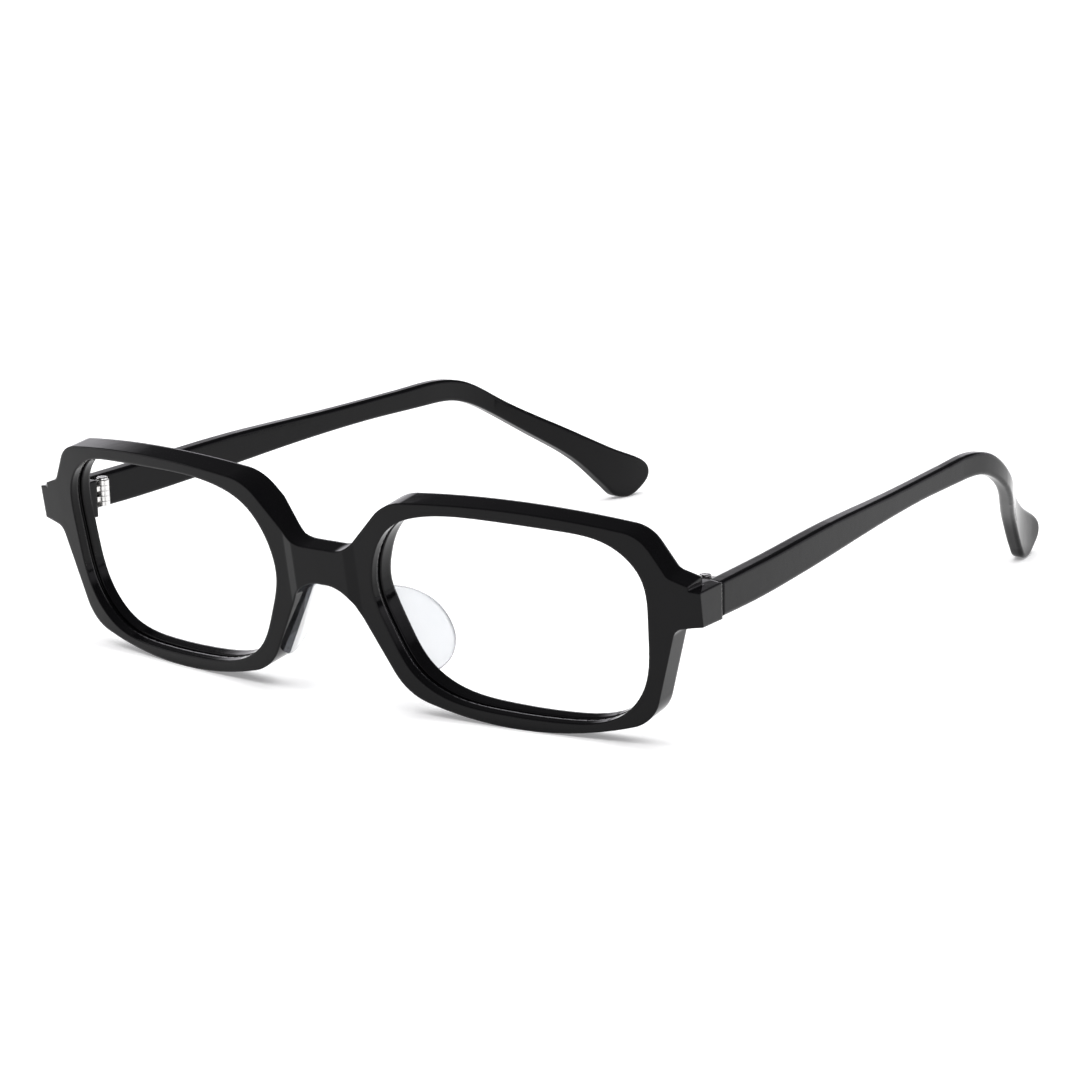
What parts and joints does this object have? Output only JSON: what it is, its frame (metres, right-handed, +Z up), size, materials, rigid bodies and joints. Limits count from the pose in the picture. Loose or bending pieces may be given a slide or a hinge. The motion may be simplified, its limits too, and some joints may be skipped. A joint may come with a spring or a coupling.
{
  "type": "eyeglasses frame",
  "caption": "Full-rim plastic eyeglasses frame without lenses: angular rims, keyed bridge, clear nose pads and folding curved temples on knuckle hinges.",
  "frame": {"origin": "on the surface it stands on, midway between the two sides and midway between the front and the temple tips", "axes": "+Z up; +Y from the front towards the temple tips; +X towards the wearer's left side; the YZ plane is the mirror plane"},
  "size_m": [0.1422, 0.1542, 0.0391],
  "materials": {
    "black_acetate": "polished",
    "clear_plastic": "clear",
    "hinge_metal": "satin",
    "screw_metal": "polished",
    "wire_metal": "satin"
  },
  "bodies": {
    "front": {"front_frame": "black_acetate", "nose_pad_left": "clear_plastic", "nose_pad_right": "clear_plastic", "hinge_front_leaf_left": "hinge_metal", "hinge_front_leaf_right": "hinge_metal", "hinge_screw_left": "screw_metal", "hinge_screw_right": "screw_metal"},
    "temple_left": {"temple_left": "black_acetate", "temple_core_wire_left": "wire_metal", "hinge_temple_leaf_left": "hinge_metal"},
    "temple_right": {"temple_right": "black_acetate", "temple_core_wire_right": "wire_metal", "hinge_temple_leaf_right": "hinge_metal"}
  },
  "joints": [
    {"name": "temple_left_fold", "type": "hinge", "parent": "front", "child": "temple_left", "pos_m": [0.0654, -0.0573, 0], "axis": [0, 0, 1], "range_deg": [0, 80]},
    {"name": "temple_right_fold", "type": "hinge", "parent": "front", "child": "temple_right", "pos_m": [-0.0654, -0.0573, 0], "axis": [0, 0, -1], "range_deg": [0, 66]}
  ]
}
